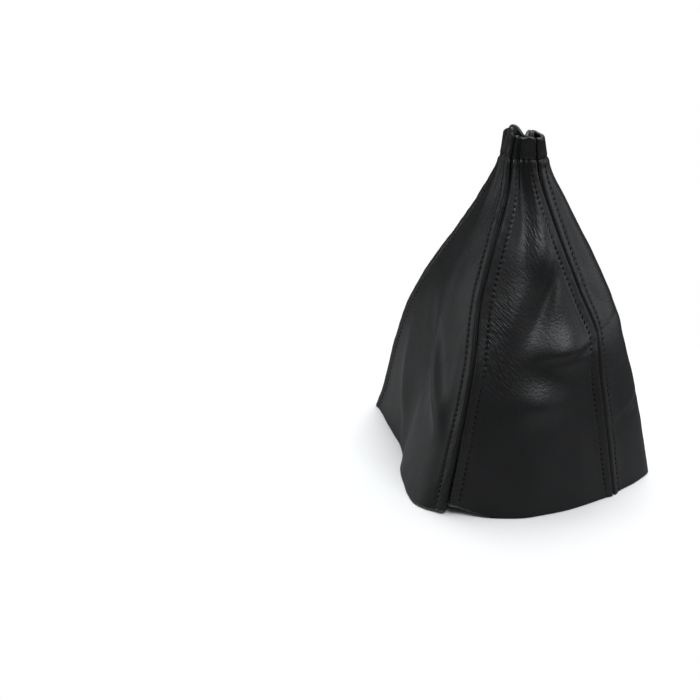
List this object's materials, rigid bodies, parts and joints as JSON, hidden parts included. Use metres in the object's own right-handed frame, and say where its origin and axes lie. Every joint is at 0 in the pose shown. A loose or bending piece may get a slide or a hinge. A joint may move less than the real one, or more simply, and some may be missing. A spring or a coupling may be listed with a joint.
{
  "type": "gear lever gaiter",
  "caption": "Black leather gear lever gaiter: sewn panels with topstitched seams, wide at a cut hem and gathered at the top into a narrow turned-in cuff.",
  "frame": {"origin": "on the plane the hem rests on, under the middle of the bounding box", "axes": "+Z from the hem up through the cuff, -Y is the side with the front panel, +X is to the right seen from the front"},
  "size_m": [0.1428, 0.1582, 0.1938],
  "materials": {
    "leather": "semi-gloss fine grain",
    "thread": "twisted sewing thread"
  },
  "bodies": {
    "root": {"front_panel": "leather", "right_panel": "leather", "rear_panel": "leather", "left_panel": "leather", "front_topstitch_first": "thread", "front_topstitch_second": "thread", "right_topstitch_first": "thread", "right_topstitch_second": "thread", "rear_topstitch_first": "thread", "rear_topstitch_second": "thread", "left_topstitch_first": "thread", "left_topstitch_second": "thread", "cuff_stitch": "thread"}
  },
  "joints": []
}
